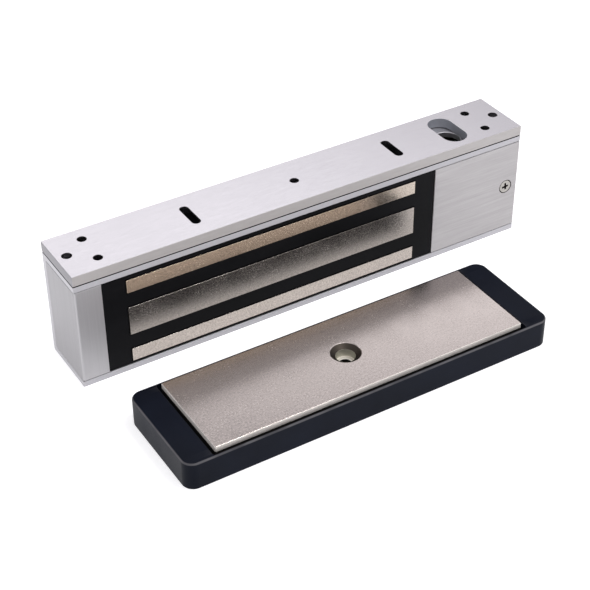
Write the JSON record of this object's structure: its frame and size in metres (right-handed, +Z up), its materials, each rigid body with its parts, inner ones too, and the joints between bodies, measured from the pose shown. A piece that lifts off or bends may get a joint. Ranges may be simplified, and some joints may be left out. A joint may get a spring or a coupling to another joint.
{
  "type": "magnetic door lock",
  "caption": "Surface-mounted electromagnetic door lock: housed magnet with mounting plate and wiring compartment, and a floating steel armature in its holder.",
  "frame": {"origin": "on the ground under the middle of the arrangement's box", "axes": "+X along the magnet towards its wiring compartment, +Y from the armature towards the magnet's back, +Z up out of the mounting plate"},
  "size_m": [0.3048, 0.148, 0.0762],
  "materials": {
    "plate_aluminium": "fine satin brushing along the length",
    "housing_aluminium": "satin anodised, fine brushing along the length",
    "end_aluminium": "satin anodised, vertical brushing",
    "cover_aluminium": "horizontal brushed grain",
    "pole_steel": "ground and nickel plated, mottled",
    "armature_nickel": "ground top, dull nickel plating with fine speckle",
    "potting_resin": "satin cast epoxy",
    "holder_plastic": "satin moulded, blue-black",
    "washer_rubber": "matt",
    "screw_steel": "bright zinc or nickel plating",
    "standoff_brass": "turned brass, nickel flash",
    "bolt_black": "black oxide",
    "coil_copper": "enamelled copper wire",
    "bobbin_nylon": "natural nylon",
    "lead_black": "PVC insulation",
    "lead_red": "PVC insulation",
    "board_laminate": "solder mask over glass laminate",
    "terminal_plastic": "moulded",
    "varistor_epoxy": "dipped epoxy",
    "diode_body": "moulded body with tinned leads",
    "header_plastic": "moulded"
  },
  "bodies": {
    "magnet": {"housing_channel": "housing_aluminium", "mounting_plate": "plate_aluminium", "left_end_block": "end_aluminium", "right_end_block": "end_aluminium", "magnet_bolt_left": "bolt_black", "magnet_bolt_right": "bolt_black", "core_stack": "pole_steel", "coil_bobbin": "bobbin_nylon", "coil_winding": "coil_copper", "potting": "potting_resin", "coil_lead_black": "lead_black", "coil_lead_red": "lead_red", "circuit_board": "board_laminate", "board_standoff_lower": "standoff_brass", "board_standoff_upper": "standoff_brass", "board_screw_lower": "screw_steel", "board_screw_upper": "screw_steel", "terminal_block": "terminal_plastic", "surge_varistor": "varistor_epoxy", "suppression_diode": "diode_body", "voltage_header": "header_plastic"},
    "cover": {"compartment_cover": "cover_aluminium"},
    "cover_screw": {"cover_screw": "screw_steel"},
    "terminal_screw_1": {"terminal_screw_1": "screw_steel"},
    "terminal_screw_2": {"terminal_screw_2": "screw_steel"},
    "terminal_screw_3": {"terminal_screw_3": "screw_steel"},
    "terminal_screw_4": {"terminal_screw_4": "screw_steel"},
    "voltage_jumper": {"voltage_jumper": "header_plastic"},
    "armature_holder": {"armature_holder": "holder_plastic", "steel_washer_lower": "screw_steel"},
    "rubber_washer": {"rubber_washer": "washer_rubber"},
    "steel_washer_upper": {"steel_washer_upper": "screw_steel"},
    "armature_plate": {"armature_plate": "armature_nickel", "guide_pin_left": "screw_steel", "guide_pin_right": "screw_steel"}
  },
  "joints": [
    {"name": "armature_swing", "type": "hinge", "parent": "magnet", "child": "armature_holder", "pos_m": [-0.0234, 0.00345, -0.009], "axis": [1, 0, 0], "range_deg": [-90, 0]},
    {"name": "armature_tilt", "type": "hinge", "parent": "armature_holder", "child": "rubber_washer", "pos_m": [-0.0234, -0.03965, 0.0042], "axis": [1, 0, 0], "range_deg": [-0.75, 0.75], "stiffness_Nm_per_rad": 10},
    {"name": "armature_cushion", "type": "slide", "parent": "rubber_washer", "child": "steel_washer_upper", "axis": [0, 0, 1], "range_m": [-0.001, 0], "stiffness_N_per_m": 30000, "springref_m": 0.001, "deforming": ["rubber_washer"]},
    {"name": "armature_rock", "type": "hinge", "parent": "steel_washer_upper", "child": "armature_plate", "pos_m": [-0.0234, -0.03965, 0.00705], "axis": [0, 1, 0], "range_deg": [-0.35, 0.35], "stiffness_Nm_per_rad": 20},
    {"name": "cover_slide", "type": "slide", "parent": "magnet", "child": "cover", "axis": [0, -1, 0], "range_m": [0, 0.03]},
    {"name": "cover_screw_turn", "type": "hinge", "parent": "cover", "child": "cover_screw", "pos_m": [0.1439, 0.03765, 0.0347], "axis": [0, -1, 0], "continuous": true},
    {"name": "terminal_screw_1_turn", "type": "hinge", "parent": "magnet", "child": "terminal_screw_1", "pos_m": [0.10798, 0.05365, 0.0234], "axis": [0, -1, 0], "continuous": true},
    {"name": "terminal_screw_2_turn", "type": "hinge", "parent": "magnet", "child": "terminal_screw_2", "pos_m": [0.11306, 0.05365, 0.0234], "axis": [0, -1, 0], "continuous": true},
    {"name": "terminal_screw_3_turn", "type": "hinge", "parent": "magnet", "child": "terminal_screw_3", "pos_m": [0.11814, 0.05365, 0.0234], "axis": [0, -1, 0], "continuous": true},
    {"name": "terminal_screw_4_turn", "type": "hinge", "parent": "magnet", "child": "terminal_screw_4", "pos_m": [0.12322, 0.05365, 0.0234], "axis": [0, -1, 0], "continuous": true},
    {"name": "jumper_pull", "type": "slide", "parent": "magnet", "child": "voltage_jumper", "axis": [0, -1, 0], "range_m": [0, 0.006]}
  ]
}
